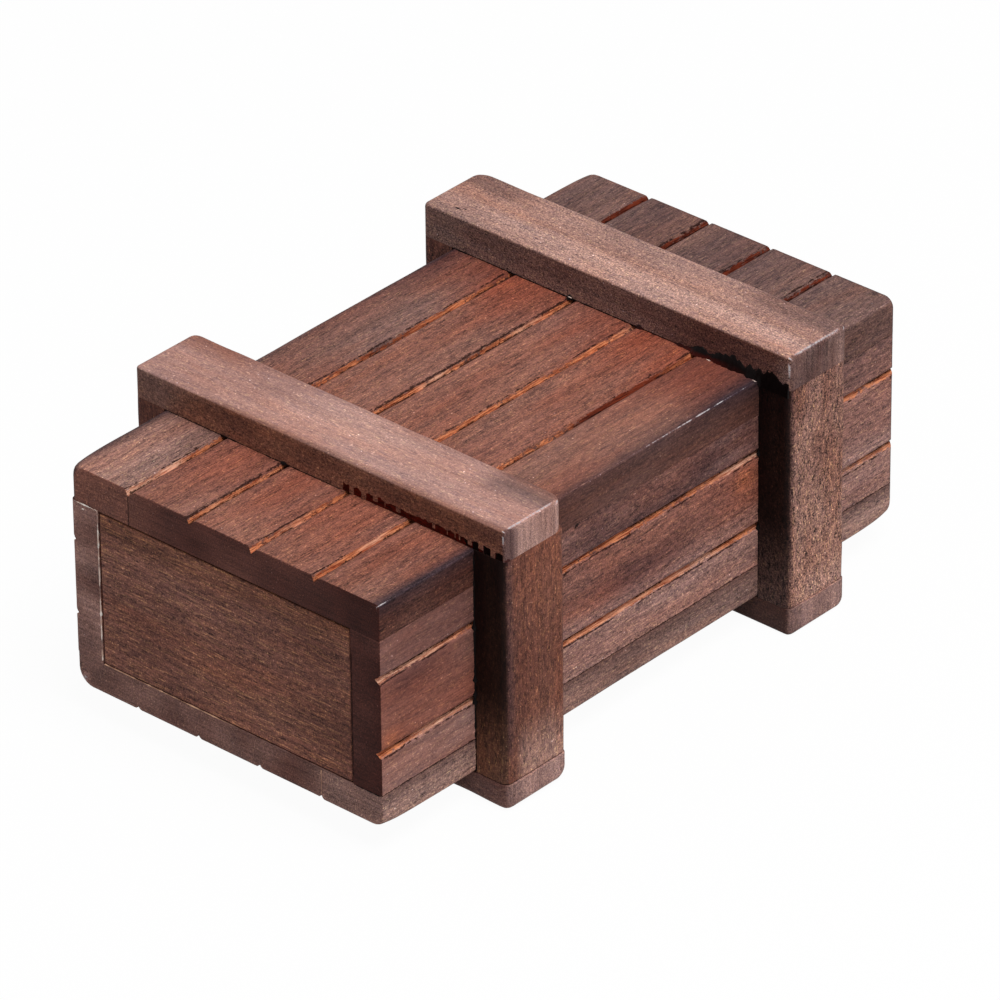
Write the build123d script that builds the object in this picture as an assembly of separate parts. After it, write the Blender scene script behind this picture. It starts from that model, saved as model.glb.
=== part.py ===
from build123d import *
import os

# Wooden gift box in the form of a small banded crate. Four boards make a tube that is open at both
# ends, a tray as long as the tube fills it, and two bands of battens go round it. The bottom batten
# of the near band slides across the box on a dovetail and carries the peg that locks the tray.
#
# X runs along the box, with the near end at -X. The near long side faces -Y. Z points up from the
# undersides of the bottom battens. Lengths are in millimetres.

# Tube of boards
box_length = 120.0
box_width = 63.0
box_height = 39.2
top_thickness = 6.2
bottom_thickness = 5.8
side_thickness = 5.8
upright_edge_radius = 1.2
board_rim_radius = 1.0

# Grooves that make each board look like a row of planks
board_planks = 5
side_planks = 3
board_groove_width = 1.6
board_groove_depth = 0.9
board_groove_lean_share = 0.3
side_groove_width = 1.4
side_groove_depth = 0.9

# Bands of battens
batten_width = 13.7
side_batten_thickness = 6.2
near_top_batten_thickness = 5.4
far_top_batten_thickness = 6.0
bottom_batten_thickness = 4.9
bottom_batten_proud = 0.3
near_band_setback = 21.0
far_band_setback = 19.5
batten_corner_radius = 1.4
batten_edge_radius = 1.2
sliding_batten_edge_radius = 1.6

# Tray
tray_side_clearance = 0.25
tray_floor_clearance = 0.15
tray_top_clearance = 0.35
tray_end_thickness = 6.0
tray_side_thickness = 3.2
tray_floor_thickness = 4.2
tray_side_step = 1.0
tray_edge_radius = 0.4

# Sliding batten with its dovetail tongue
key_travel = 5.0
key_clearance = 0.15
tongue_width = 8.4
tongue_neck = 6.4
tongue_height = 3.0
tongue_end_clearance = 0.6

# Lock peg and the track that it runs in under the tray
peg_diameter = 4.0
peg_glue_gap = 0.02
peg_recess = 0.3
peg_reach = 2.3
peg_tip_radius = 0.5
peg_clearance = 0.35
track_headroom = 0.4
track_end_wall = 4.0

# How far a cutting shape runs past the piece that it cuts
overrun = 2.0

# Levels and places that follow from the sizes above
body_bottom = bottom_batten_thickness
body_top = body_bottom + box_height
bore_bottom = body_bottom + bottom_thickness
bore_top = body_top - top_thickness
bore_width = box_width - 2 * side_thickness
plank_width = box_width / board_planks
side_plank_height = box_height / side_planks
near_band_x = -box_length / 2 + near_band_setback + batten_width / 2
far_band_x = box_length / 2 - far_band_setback - batten_width / 2
band_width = box_width + 2 * side_batten_thickness
tray_width = bore_width - 2 * tray_side_clearance
tray_bottom = bore_bottom + tray_floor_clearance
tray_top = bore_top - tray_top_clearance
tray_inner_length = box_length - 2 * tray_end_thickness
key_top = body_bottom - key_clearance
tongue_top = body_bottom + tongue_height
peg_y = key_travel / 2
track_width = peg_diameter + 2 * peg_clearance
track_end_x = box_length / 2 - tray_end_thickness - track_end_wall - track_width / 2

# Corner to stand a shape on its own lowest level
STANDING = (Align.CENTER, Align.CENTER, Align.MIN)


# Shapes that several pieces share

def prism_along_x(points, length):
    """A shape whose outline is given in Y and Z, spread evenly to both sides of x = 0."""
    outline = make_face(Plane.YZ * Polyline(*points, close=True))
    return extrude(outline, amount=length / 2, both=True)


def prism_along_y(points, length):
    """A shape whose outline is given in X and Z, spread evenly to both sides of y = 0."""
    outline = make_face(Plane.XZ * Polyline(*points, close=True))
    return extrude(outline, amount=length / 2, both=True)


def rounded_bar(length, width, height, corner, edge):
    """A bar on z = 0 with its upright corners and the rim of its top sanded round."""
    bar = extrude(RectangleRounded(length, width, corner), amount=height)
    rim = bar.faces().sort_by(Axis.Z)[-1].edges()
    return fillet(rim, edge)


def sanded_board(thickness):
    """A board as wide as the box, on z = 0, with its outer face upwards and sanded round."""
    return rounded_bar(box_length, box_width, thickness, upright_edge_radius, board_rim_radius)


def groove_places():
    """Where the grooves of the top board lie across the box, from -Y to +Y."""
    return [plank_width * number - box_width / 2 for number in range(1, board_planks)]


def groove_tip(place):
    """The deepest line of a groove of the top board, which leans towards +Y."""
    return place + board_groove_width * (1 / 2 - board_groove_lean_share)


def grooved_board(board, surface):
    """The board with its grooves cut down from its upper surface."""
    rise = 1 + overrun / board_groove_depth
    for place in groove_places():
        tip = groove_tip(place)
        left = tip + (place + board_groove_width / 2 - tip) * rise
        right = tip + (place - board_groove_width / 2 - tip) * rise
        mouth = surface + overrun
        cutter = prism_along_x(
            [(tip, surface - board_groove_depth), (left, mouth), (right, mouth)],
            box_length + 2 * overrun,
        )
        board = board - cutter
    return board


def split_across(board, joint_y):
    """The two boards that are edge-glued at joint_y: the one towards -Y and the one towards +Y."""
    seam = Plane((0, joint_y, 0), z_dir=(0, 1, 0))
    towards_minus_y = split(board, bisect_by=seam, keep=Keep.BOTTOM)
    towards_plus_y = split(board, bisect_by=seam, keep=Keep.TOP)
    return towards_minus_y, towards_plus_y


# Tube: top board, bottom board and two side boards

def top_boards():
    """A wide board and, towards +Y, a strip one plank wide, glued edge to edge under a groove."""
    board = Pos(0, 0, bore_top) * sanded_board(top_thickness)
    board = grooved_board(board, body_top)
    return split_across(board, groove_tip(groove_places()[-1]))


def bottom_boards():
    """The same pair turned over about X, with the dovetail way and the peg's slot cut in."""
    board = grooved_board(sanded_board(bottom_thickness), bottom_thickness)
    board = Pos(0, 0, bore_bottom) * (Rot(180, 0, 0) * board)
    board = board - dovetail_way() - peg_slot()
    return split_across(board, -groove_tip(groove_places()[-1]))


def dovetail_way():
    """The undercut way across the bottom boards in which the sliding batten's tongue runs."""
    widening = (tongue_width - tongue_neck) / 2
    slope = widening / tongue_height
    deep = tongue_height + key_clearance
    mouth_half = tongue_neck / 2 + key_clearance - slope * overrun
    deep_half = tongue_neck / 2 + key_clearance + slope * deep
    way = prism_along_y(
        [
            (-mouth_half, body_bottom - overrun),
            (mouth_half, body_bottom - overrun),
            (deep_half, body_bottom + deep),
            (-deep_half, body_bottom + deep),
        ],
        box_width + 2 * overrun,
    )
    return Pos(near_band_x, 0, 0) * way


def peg_slot():
    """The slot over the dovetail way. Its ends stop the peg and so end the sliding batten's way."""
    outline = SlotOverall(key_travel + track_width, track_width, rotation=90)
    slot = extrude(outline, amount=bottom_thickness + overrun)
    return Pos(near_band_x, 0, body_bottom) * slot


def side_board(facing):
    """A board between top and bottom with its grooves outside. facing is 1 at +Y and -1 at -Y."""
    height = bore_top - bore_bottom
    outline = Rectangle(box_length, side_thickness)
    outer_corners = outline.vertices().sort_by(Axis.Y)[-2:]
    outline = fillet(outer_corners, upright_edge_radius)
    board = extrude(outline, amount=height)
    board = Pos(0, box_width / 2 - side_thickness / 2, bore_bottom) * board
    for number in range(1, side_planks):
        level = body_bottom + side_plank_height * number
        rise = 1 + overrun / side_groove_depth
        spread = side_groove_width / 2 * rise
        cutter = prism_along_x(
            [
                (box_width / 2 - side_groove_depth, level),
                (box_width / 2 + overrun, level + spread),
                (box_width / 2 + overrun, level - spread),
            ],
            box_length + 2 * overrun,
        )
        board = board - cutter
    return board if facing > 0 else mirror(board, about=Plane.XZ)


# Bands: top, side and bottom battens

def top_batten(band_x, thickness):
    """A batten over the top board and over the upper ends of its two side battens."""
    bar = rounded_bar(batten_width, band_width, thickness, batten_corner_radius, batten_edge_radius)
    return Pos(band_x, 0, body_top) * bar


def side_batten(band_x, facing):
    """An upright batten as high as the tube. facing is 1 at +Y and -1 at -Y."""
    outline = Rectangle(batten_width, side_batten_thickness)
    outer_corners = outline.vertices().sort_by(Axis.Y)[-2:]
    outline = fillet(outer_corners, batten_corner_radius)
    bar = extrude(outline, amount=box_height)
    bar = Pos(0, box_width / 2 + side_batten_thickness / 2, 0) * bar
    bar = bar if facing > 0 else mirror(bar, about=Plane.XZ)
    return Pos(band_x, 0, body_bottom) * bar


def bottom_batten(band_x, thickness, edge):
    """A batten that the box stands on, with its ends a little proud of the side battens."""
    length = band_width + 2 * bottom_batten_proud
    bar = rounded_bar(batten_width, length, thickness, batten_corner_radius, edge)
    return Pos(band_x, 0, thickness) * (Rot(180, 0, 0) * bar)


def sliding_batten():
    """The near band's bottom batten with its dovetail tongue and the bore for the peg."""
    bar = bottom_batten(near_band_x, key_top, sliding_batten_edge_radius)
    tongue = prism_along_y(
        [
            (-tongue_neck / 2, key_top),
            (tongue_neck / 2, key_top),
            (tongue_neck / 2, body_bottom),
            (tongue_width / 2, tongue_top),
            (-tongue_width / 2, tongue_top),
            (-tongue_neck / 2, body_bottom),
        ],
        box_width - 2 * key_travel - 2 * tongue_end_clearance,
    )
    key = bar + Pos(near_band_x, 0, 0) * tongue
    bore_radius = peg_diameter / 2 + peg_glue_gap
    bore = Cylinder(bore_radius, tongue_top + 2 * overrun, align=STANDING)
    return key - Pos(near_band_x, peg_y, -overrun) * bore


def lock_peg():
    """A dowel glued into the sliding batten from below. Its rounded tip stands in the track."""
    height = tray_bottom + peg_reach - peg_recess
    peg = Cylinder(peg_diameter / 2, height, align=STANDING)
    tip = peg.faces().sort_by(Axis.Z)[-1].edges()
    peg = fillet(tip, peg_tip_radius)
    return Pos(near_band_x, peg_y, peg_recess) * peg


# Tray: floor, two sides and two end panels

def tray_floor():
    """The floor between the end panels, with the lock's track cut into its underside."""
    floor = Box(tray_inner_length, tray_width, tray_floor_thickness, align=STANDING)
    floor = Pos(0, 0, tray_bottom) * floor
    run = track_end_x - near_band_x
    depth = peg_reach + track_headroom
    track = SlotCenterToCenter(run, track_width)
    track = Pos(near_band_x + run / 2, peg_y) * track
    for place in (near_band_x, track_end_x):
        cross_cut = SlotCenterToCenter(key_travel, track_width, rotation=90)
        track = track + Pos(place, 0) * cross_cut
    cutter = extrude(track, amount=depth + overrun)
    return floor - Pos(0, 0, tray_bottom - overrun) * cutter


def tray_side(facing):
    """A side that stands on the floor's edge. facing is 1 at +Y and -1 at -Y."""
    low = tray_bottom + tray_floor_thickness
    height = tray_top - tray_side_step - low
    side = Box(tray_inner_length, tray_side_thickness, height, align=STANDING)
    rim = side.faces().sort_by(Axis.Z)[-1].edges().filter_by(Axis.X)
    side = fillet(rim, tray_edge_radius)
    return Pos(0, facing * (tray_width - tray_side_thickness) / 2, low) * side


def tray_end(facing):
    """An end panel that closes the tube. facing is 1 at the far end and -1 at the near end."""
    panel = Box(tray_end_thickness, tray_width, tray_top - tray_bottom, align=STANDING)
    outer = panel.faces().sort_by(Axis.X)[-1].edges()
    panel = fillet(outer, tray_edge_radius)
    panel = panel if facing > 0 else mirror(panel, about=Plane.YZ)
    return Pos(facing * (box_length - tray_end_thickness) / 2, 0, tray_bottom) * panel


# Pieces, each under its node's name

def all_pieces():
    top_wide, top_strip = top_boards()
    bottom_strip, bottom_wide = bottom_boards()
    return {
        "top_board": top_wide,
        "top_board_strip": top_strip,
        "bottom_board": bottom_wide,
        "bottom_board_strip": bottom_strip,
        "left_side_board": side_board(1),
        "right_side_board": side_board(-1),
        "near_top_batten": top_batten(near_band_x, near_top_batten_thickness),
        "near_left_batten": side_batten(near_band_x, 1),
        "near_right_batten": side_batten(near_band_x, -1),
        "sliding_lock_batten": sliding_batten(),
        "lock_peg": lock_peg(),
        "far_top_batten": top_batten(far_band_x, far_top_batten_thickness),
        "far_left_batten": side_batten(far_band_x, 1),
        "far_right_batten": side_batten(far_band_x, -1),
        "far_bottom_batten": bottom_batten(
            far_band_x, bottom_batten_thickness, batten_edge_radius
        ),
        "tray_floor": tray_floor(),
        "tray_left_side": tray_side(1),
        "tray_right_side": tray_side(-1),
        "tray_near_end": tray_end(-1),
        "tray_far_end": tray_end(1),
    }


os.makedirs("parts", exist_ok=True)
for name, piece in all_pieces().items():
    export_step(piece, f"parts/{name}.step")
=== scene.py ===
import math

import bmesh
import bpy
from mathutils import Matrix, Vector, noise


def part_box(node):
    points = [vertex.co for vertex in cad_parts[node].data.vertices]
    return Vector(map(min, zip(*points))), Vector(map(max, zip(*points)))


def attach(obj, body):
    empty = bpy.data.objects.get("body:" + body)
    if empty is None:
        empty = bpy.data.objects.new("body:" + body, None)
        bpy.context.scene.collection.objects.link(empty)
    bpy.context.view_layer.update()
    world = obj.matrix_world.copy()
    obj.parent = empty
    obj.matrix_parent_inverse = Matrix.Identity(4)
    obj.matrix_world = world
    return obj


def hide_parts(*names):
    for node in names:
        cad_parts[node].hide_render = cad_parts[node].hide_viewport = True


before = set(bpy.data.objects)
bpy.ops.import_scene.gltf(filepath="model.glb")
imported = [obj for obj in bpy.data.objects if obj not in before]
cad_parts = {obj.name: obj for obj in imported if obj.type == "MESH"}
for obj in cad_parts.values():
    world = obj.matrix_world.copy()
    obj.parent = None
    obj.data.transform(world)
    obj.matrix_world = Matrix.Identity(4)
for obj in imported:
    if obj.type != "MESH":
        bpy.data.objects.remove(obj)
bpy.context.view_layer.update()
mm = 0.001

# Camera. The photograph was taken with a long lens, from above the near right corner of the box.
# Its place was fitted to corners of the box. The frame is 1000 pixels wide.
camera_aim = Vector((-31.593, -30.223, 48.774)) * mm
camera_azimuth = math.radians(-48.2495)
camera_elevation = math.radians(31.1147)
camera_roll = math.radians(-0.5877)
camera_distance = 1292.378 * mm
camera_reach = 20.0
sensor_width = 36.0
focal_pixels = 8708.41
image_pixels = 1000.0


def linked(name, data):
    """A new object in the scene."""
    made = bpy.data.objects.new(name, data)
    bpy.context.scene.collection.objects.link(made)
    return made


towards_camera = Vector((
    math.sin(camera_azimuth) * math.cos(camera_elevation),
    -math.cos(camera_azimuth) * math.cos(camera_elevation),
    math.sin(camera_elevation),
))
camera_data = bpy.data.cameras.new("camera")
camera_data.sensor_width = sensor_width
camera_data.lens = focal_pixels / image_pixels * sensor_width
camera_data.clip_end = camera_reach
camera = linked("camera", camera_data)
camera_turn = towards_camera.to_track_quat("Z", "Y").to_matrix()
camera_turn = camera_turn @ Matrix.Rotation(camera_roll, 3, "Z")
camera_place = Matrix.Translation(camera_aim + towards_camera * camera_distance)
camera.matrix_world = camera_place @ camera_turn.to_4x4()
bpy.context.scene.camera = camera
bpy.context.scene.view_settings.view_transform = "Standard"


# Top board and its strip. Two boards of stained hardwood, glued edge to edge, with V grooves that
# make them look like five planks. They were grooved after a first coat of stain, so the steep wall
# of each groove is still raw orange wood, with a dark line of stain along its lip.

def node_box(node):
    """A node's lowest and highest corners in millimetres, as all lengths are from here on."""
    return [Vector(corner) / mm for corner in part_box(node)]


top_low, top_high = node_box("top_board")
board_low = Vector((top_low.x, top_low.y, node_box("bottom_board")[0].z))
board_high = Vector((-board_low.x, -board_low.y, top_high.z))
top_inner, top_joint = top_low.z, top_high.y
plank_width = (board_high.y - board_low.y) / 5
groove_tips = [board_low.y + plank_width * number for number in range(1, 5)]
groove_tips = [tip + top_joint - groove_tips[-1] for tip in groove_tips]
near_band, far_band = (
    tuple(corner.x for corner in node_box(node)) for node in ("near_top_batten", "far_top_batten")
)
end_steps = (0, 0.02, 0.06, 0.12, 0.2, 0.3, 0.42, 0.56, 0.72, 0.9, 1.15, 1.5, 1.9, 2.4, 3.0)
cap_grid = 1.7
cap_weld = 1e-7
smooth_below = math.radians(38)


def drift(seed, size, *place):
    """A smooth value between about -1 and 1 that wanders over the given size."""
    point = Vector(tuple(place) + (0.0,) * (3 - len(place))) / size
    return noise.noise(point + Vector((seed * 3.71, seed * 7.93, seed * 1.37)))


def chips(seed, size, bar, place):
    """Bites out of an edge: mostly 0, and up to about 1 where a splinter has gone."""
    return max(0.0, drift(seed, size, place) - bar) / (1 - bar)


def near(value, centre, reach):
    """1 at the centre, falling to 0 over the reach."""
    return math.exp(-((value - centre) / reach) ** 2)


def held(share):
    """A share kept between 0 and 1."""
    return min(1.0, max(0.0, share))


def step(value, start, end):
    """0 before start, 1 after end, smooth between. With end below start it falls instead."""
    t = held((value - start) / (end - start))
    return t * t * (3 - 2 * t)


def fallen(distance, radius):
    """How far a rounded edge has fallen back at a distance from its corner."""
    if distance >= radius:
        return 0.0
    return radius - math.sqrt(max(0.0, radius * radius - (radius - distance) ** 2))


def stations(start, end, spacing=0.5):
    """Places along a piece, closer together near its ends, where it is rounded."""
    count = round((end - start - 2 * end_steps[-1]) / spacing)
    pace = (end - start - 2 * end_steps[-1]) / count
    places = [start + distance for distance in end_steps]
    places += [start + end_steps[-1] + pace * number for number in range(1, count)]
    return places + [end - distance for distance in reversed(end_steps)]


def arc(corner, radius, start_angle, wear, count=6):
    """Points round a quarter circle inside a corner of a section, as (across, outwards, marks).
    start_angle is 180 where across is low and 90 where it is high. Up to 1 the mark makes the
    ridge paler, as worn wood with a soft painted highlight; over 1 it also paints a thin pale
    highlight line."""
    turned_in = math.radians(start_angle - 45)
    across = corner[0] - math.copysign(radius, math.cos(turned_in))
    outwards = corner[1] - math.copysign(radius, math.sin(turned_in))
    points = []
    for number in range(count + 1):
        turn = math.radians(start_angle - 90 * number / count)
        ridge_share = math.sin(math.pi * number / count)
        rub_and_highlight = min(1, wear) * ridge_share ** 3 + max(0, wear - 1) * ridge_share ** 10
        place = (across + radius * math.cos(turn), outwards + radius * math.sin(turn))
        points.append((*place, {"wear": rub_and_highlight}))
    return points


def groove(u, tip, cut, dark_line, closer, seed):
    """Points over one groove, in order of across, as (across, depth, marks). cut gives the widths
    of its plain and its raw flank, its depth, and 1 or -1 for the side of its raw flank. closer
    is the distance to the nearer end, where the cutter broke out a little wider. dark_line,
    about 1, says how often a line of dark stain lies along its lip, and a little how much
    painted shade lies down at its tip."""
    plain_width, raw_width, depth, raw_side = cut
    depth *= 1 + 0.25 * math.exp(-closer / 1.2)
    plain_width *= 1 + 0.18 * drift(seed + 1, 5, u)
    raw_width *= 1 + 0.30 * drift(seed + 2, 3, u)
    depth *= 1 + 0.14 * drift(seed + 5, 6, u)
    plain_chip = 0.45 * chips(seed + 3, 1.6, 0.22, u) + 0.10 * chips(seed + 13, 0.6, 0.0, u)
    raw_chip = 0.50 * chips(seed + 4, 1.6, 0.16, u) + 0.12 * chips(seed + 14, 0.6, 0.0, u)
    line = drift(seed + 6, 6, u) + 0.6 * drift(seed + 7, 1.1, u) + 0.6 * (dark_line - 1)
    line = 0.30 + 0.70 * step(line, -0.35, 0.25)
    # shade is painted shade down at the groove's tip, where the groove lies in shadow.
    shade = drift(seed + 10, 5, u) + 0.5 * drift(seed + 12, 1.4, u) + 0.4 * (dark_line - 1)
    shade = 0.35 + 0.65 * step(shade, -0.2, 0.3)
    bared = 0.90 + 0.35 * drift(seed + 8, 7, u) + 0.35 * drift(seed + 9, 0.9, u)
    spilt = max(0.0, dark_line - 1.1) * line
    profile = [
        (-plain_width - plain_chip - 0.4, 0, 0, 0),
        (-plain_width - plain_chip - 0.06, 0.02, 0.04, 0),
        (-plain_width - 0.4 * plain_chip + 0.05, 0.10 + 0.2 * plain_chip, 0.14, 0),
        (-0.66 * plain_width, 0.35 * depth, 0.20, 0.20 * shade),
        (-0.32 * plain_width, 0.69 * depth, 0.46, 0.75 * shade),
        (0, depth, 0.92, 0.95 * shade),
        (0.30 * raw_width, 0.72 * depth, 1.0, 0.45 * shade),
        (0.58 * raw_width, 0.45 * depth, 0.92, 0.15 * line + 0.3 * spilt),
        (0.84 * raw_width, 0.20 * depth, 0.62, 0.50 * line + 0.4 * spilt),
        (raw_width + 0.3 * raw_chip, 0.07 + 0.2 * raw_chip, 0.32, 1.0 * line),
        (raw_width + raw_chip + 0.05, 0.02, 0.06, 0.80 * line),
        (raw_width + raw_chip + 0.3, 0, 0, 0.9 * spilt),
    ]
    points = [
        (tip + raw_side * away, down, {"raw": raw * bared, "edge_pool": pool})
        for away, down, raw, pool in profile
    ]
    return points if raw_side > 0 else points[::-1]


def board_section(u, across, thickness, sides, tips, cut, seed, rims, corners, lines, shine=None):
    """A section of a grooved board, going round it once, as points (across, outwards, marks). rims
    are the radii at both ends. corners are the radius of the long edge, how much rounder it gets at
    both ends, and its corners' radii in plan. lines say how dark the line on each groove's lip is,
    and a little how much painted shade lies down in it. shine is the middle and the reach of the
    stretch where the long edge gets a thin painted highlight line."""
    low, high = across
    inner, full = thickness
    from_near, from_far = u - board_low.x, board_high.x - u
    closer = min(from_near, from_far)
    outer = full - (fallen(from_near, rims[0]) + fallen(from_far, rims[1]))
    long_radius, near_more, far_more, near_plan, far_plan = corners
    narrowed = fallen(from_near, near_plan) + fallen(from_far, far_plan)
    radius = long_radius + near_more * math.exp(-from_near / 2.6)
    radius += far_more * math.exp(-from_far / 2.6)
    radius *= 1 + 0.2 * drift(seed, 9, u)
    # Worn paler along the far end's rim, and a painted highlight along the near end's rim.
    rub_and_highlight = step(from_far, 0.8, 0.1) + 1.5 * near(from_near, 0.12, 0.1)
    first, last = [(low, inner, {})], [(high, inner, {})]
    if sides[0] == "edge":
        # A painted highlight: a thin pale line along the ridge of the long edge where shine says,
        # and near its near corner.
        painted_highlight = near(u, *shine) * (0.9 + 1.7 * drift(seed + 50, 1.1, u)) if shine else 0.0
        painted_highlight += 1.3 * near(from_near, 1.0, 1.1)
        first = [(low + narrowed, inner, {}), (low + narrowed, (inner + outer) / 2, {})]
        first += arc((low + narrowed, outer), radius, 180, 1 + max(0.0, 1.3 * painted_highlight))
    if sides[0] == "butt":
        first += [(low, outer - 0.24, {"edge_pool": 1.2}), (low + 0.2, outer, {"edge_pool": 0.75})]
    if sides[1] == "edge":
        last = arc((high - narrowed, outer), radius, 90, 1)
        last += [(high - narrowed, (inner + outer) / 2, {}), (high - narrowed, inner, {})]
    if sides[1] == "butt":
        last = [
            (high - 0.08, outer, {"edge_pool": 0.4}), (high, outer - 0.08, {"edge_pool": 0.8}),
            *last,
        ]
    burst = 0.40 * math.exp(-from_far / 0.9) + 0.22 * math.exp(-from_near / 0.8)
    parts = [first]
    for number, tip in enumerate(tips):
        points = []
        run = groove(u, tip, cut, lines[number], closer, seed + 11 * number)
        for place, (at, down, marks) in enumerate(run):
            at += 0 if 2 < place < 9 else math.copysign(burst, at - tip)
            points.append((at, min(outer, full - down), marks))
        if tip <= low:
            points = [(low, *points[5][1:])] + points[6:]
        if tip >= high:
            points = points[:5] + [(high, *points[5][1:])]
        parts.append(points)
    parts.append(last)
    if tips[0] <= low:
        parts[:2] = [parts[0] + parts[1]]
    if tips[-1] >= high:
        parts[-2:] = [parts[-2] + parts[-1]]
    section = list(parts[0])
    for following in parts[1:]:
        left, right = section[-1][0], following[0][0]
        for share in (0.06, 0.18, 0.32, 0.5, 0.68, 0.82, 0.94):
            at = left + (right - left) * share
            sunk = 0.05 * abs(2 * share - 1) ** 3 + 0.03 * (1 + drift(seed + 40, 6, u / 3, at))
            section.append((at, outer - sunk * min(1, closer / 2), {"wear": 0.5 * rub_and_highlight}))
        section += following
    return section + [(high - (high - low) * part / 6, inner, {}) for part in range(1, 6)]


def shell(name, rings):
    """A closed mesh through rings of points, with a cap at both ends as its first two faces."""
    count, total = len(rings[0]), len(rings[0]) * len(rings)
    faces = [tuple(range(count)), tuple(reversed(range(total - count, total)))]
    for here in range(0, total - count, count):
        there = here + count
        faces += [
            (here + n, there + n, there + (n + 1) % count, here + (n + 1) % count)
            for n in range(count)
        ]
    mesh = bpy.data.meshes.new(name)
    mesh.from_pydata([Vector(point) * mm for ring in rings for point in ring], [], faces)
    work = bmesh.new()
    work.from_mesh(mesh)
    bmesh.ops.recalc_face_normals(work, faces=work.faces)
    work.to_mesh(mesh)
    work.free()
    return linked(name, mesh)


def keep(mesh, mark, values, kind="FLOAT", field="value"):
    """Keeps values on a mesh's points."""
    mesh.attributes.new(mark, kind, "POINT").data.foreach_set(field, values)


def solid(name, sections, place, paint, carve=None):
    """A solid piece through (place along, section) pairs. place turns (along, across, outwards)
    into a point, carve cuts the bare mesh, and paint gives a point's colour, its dark pooling and
    painted shade, and stain on raw wood. The fourth value of a colour says how rough the wood
    looks there."""
    made = shell(name, [
        [place(u, across, out) for across, out, _ in section] for u, section in sections
    ])
    mesh = made.data
    marks = [point_marks for _, section in sections for _, _, point_marks in section]
    for mark in ("raw", "wear", "glue", "edge_pool"):
        keep(mesh, mark, [point_marks.get(mark, 0.0) for point_marks in marks])
    work = bmesh.new()
    work.from_mesh(mesh)
    is_cap = work.faces.layers.int.new("cap")
    work.faces.ensure_lookup_table()
    for cap in work.faces[:2]:
        cap[is_cap] = 1
    low, high = (
        Vector(pick(vertex.co[axis] for vertex in mesh.vertices) for axis in range(3))
        for pick in (min, max)
    )
    along = max(range(3), key=lambda axis: abs(work.faces[0].normal[axis]))
    for axis in range(3):
        slices = 0 if axis == along else int((high[axis] - low[axis]) / (cap_grid * mm))
        for number in range(1, slices):
            cut_at = low.lerp(high, number / slices)
            normal = Vector([1.0 if other == axis else 0.0 for other in range(3)])
            caps = [face for face in work.faces if face[is_cap]]
            parts = {part for face in caps for part in (*face.verts, *face.edges)} | set(caps)
            bmesh.ops.bisect_plane(
                work, geom=list(parts), plane_co=cut_at, plane_no=normal, dist=cap_weld
            )
    for face in work.faces:
        face.smooth = not face[is_cap]
    work.to_mesh(mesh)
    work.free()
    if carve:
        carve(made)
        mesh = made.data
    mesh.set_sharp_from_angle(angle=smooth_below)
    tones, pools_and_shade, stains = zip(*(paint(*(vertex.co / mm)) for vertex in mesh.vertices))
    keep(mesh, "tone", [channel for tone in tones for channel in tone], "FLOAT_COLOR", "color")
    keep(mesh, "pool", pools_and_shade)
    keep(mesh, "stain", stains)
    return made


class Field:
    """A value, colour or vector that changes over a surface: one socket of a material's nodes."""

    def __init__(self, tree, socket=None):
        self.tree = tree
        self.socket = socket

    def node(self, kind, settings=None, values=None, out=0):
        """Any node: its type, its settings, its sockets' values or links, and which output."""
        made = self.tree.nodes.new(kind)
        for key, value in (settings or {}).items():
            setattr(made, key, value)
        for key, value in (values or {}).items():
            if isinstance(value, Field):
                self.tree.links.new(value.socket, made.inputs[key])
            else:
                made.inputs[key].default_value = value
        return Field(self.tree, made.outputs[out])

    def math(self, operation, first, second=0.0):
        return self.node("ShaderNodeMath", {"operation": operation}, {0: first, 1: second})

    def __add__(self, other):
        return self.math("ADD", self, other)

    def __sub__(self, other):
        return self.math("SUBTRACT", self, other)

    def __rsub__(self, other):
        return self.math("SUBTRACT", other, self)

    def __mul__(self, other):
        return self.math("MULTIPLY", self, other)

    __radd__ = __add__
    __rmul__ = __mul__

    def ramp(self, low, high):
        """0 below low, 1 above high, smooth between."""
        values = {"Value": self, "From Min": low, "From Max": high}
        return self.node("ShaderNodeMapRange", {"interpolation_type": "SMOOTHSTEP"}, values)

    def colours(self, low, high):
        """A colour between two colours, with this field as the share of the second."""
        return self.node("ShaderNodeMix", {"data_type": "RGBA"}, {0: self, 6: low, 7: high}, 2)

    def vector(self, operation, socket, value):
        return self.node("ShaderNodeVectorMath", {"operation": operation}, {0: self, socket: value})

    def scaled(self, factor):
        """This colour made darker or lighter."""
        return self.vector("SCALE", "Scale", factor)

    def times(self, factors):
        """This colour or vector, each channel by its own factor."""
        return self.vector("MULTIPLY", 1, factors)

    def moved(self, shift):
        return self.vector("ADD", 1, shift)

    def stretched(self, along, across, grain):
        """These coordinates in metres, as steps per millimetre along and across the grain."""
        steps = [across / mm] * 3
        steps[grain] = along / mm
        return self.times(steps)

    def speckle(self, detail, roughness, distortion=0.0):
        """Smooth noise over these coordinates."""
        values = {"Scale": 1.0, "Detail": detail, "Roughness": roughness, "Distortion": distortion}
        return self.node("ShaderNodeTexNoise", None, {"Vector": self, **values})

    def mark(self, name, out=2):
        """What the mesh keeps on its points: a value, or a colour as outputs 0 and 3."""
        return self.node("ShaderNodeAttribute", {"attribute_name": name}, None, out)

    def part(self, axis):
        return self.node("ShaderNodeSeparateXYZ", None, {0: self}, axis)

    def feeds(self, shader, name):
        self.tree.links.new(self.socket, shader.inputs[name])

    def bumps(self, shader, strength, depth):
        """This height raises the surface, by up to the depth in millimetres."""
        values = {"Strength": strength, "Distance": depth * mm, "Height": self}
        self.node("ShaderNodeBump", None, values).feeds(shader, "Normal")


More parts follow.
